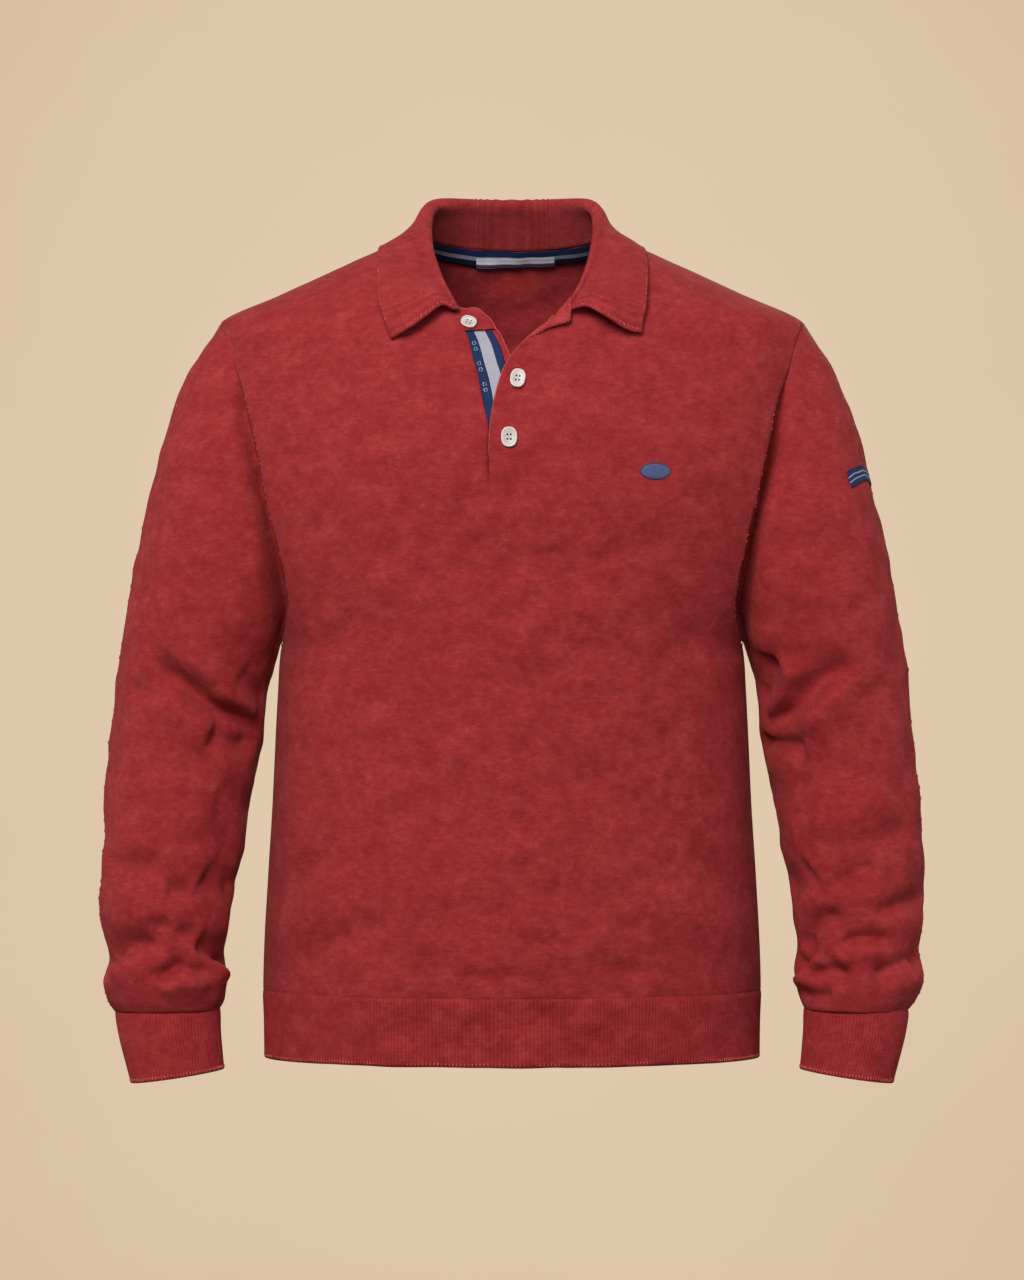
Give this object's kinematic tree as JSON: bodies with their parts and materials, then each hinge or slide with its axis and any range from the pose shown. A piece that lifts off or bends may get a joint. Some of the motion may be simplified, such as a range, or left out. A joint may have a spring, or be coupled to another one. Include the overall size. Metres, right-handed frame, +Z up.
{
  "type": "polo sweater",
  "caption": "Long-sleeved knitted polo sweater, filled out as worn and hollow, with a folded rib collar and a part-open buttoned placket.",
  "frame": {"origin": "at the neck, midway between the shoulder points where the shoulders meet the collar and 12 mm below them, on the plane of the side seams: where a wearer's neck and shoulders hold it", "axes": "+Z up, from hem to neck; the front faces -Y; +X is the wearer's left"},
  "size_m": [0.7059, 0.2697, 0.761],
  "materials": {
    "knit": "red melange fine knit",
    "rib": "red melange fine rib",
    "tape": "navy woven tape with a pale stripe",
    "label": "pale woven strip",
    "embroidery": "blue satin stitch",
    "button": "off-white, polished"
  },
  "bodies": {
    "root": {"front_panel": "knit", "back_panel": "knit", "sleeve_right": "knit", "sleeve_left": "knit", "placket_under": "knit", "cuff_right": "rib", "cuff_left": "rib", "hem_front": "rib", "hem_back": "rib", "collar": "rib", "placket_tape": "tape", "neck_tape": "tape", "sleeve_label": "tape", "neck_label": "label", "chest_badge": "embroidery", "button_1": "button", "button_2": "button", "button_3": "button"}
  },
  "joints": []
}
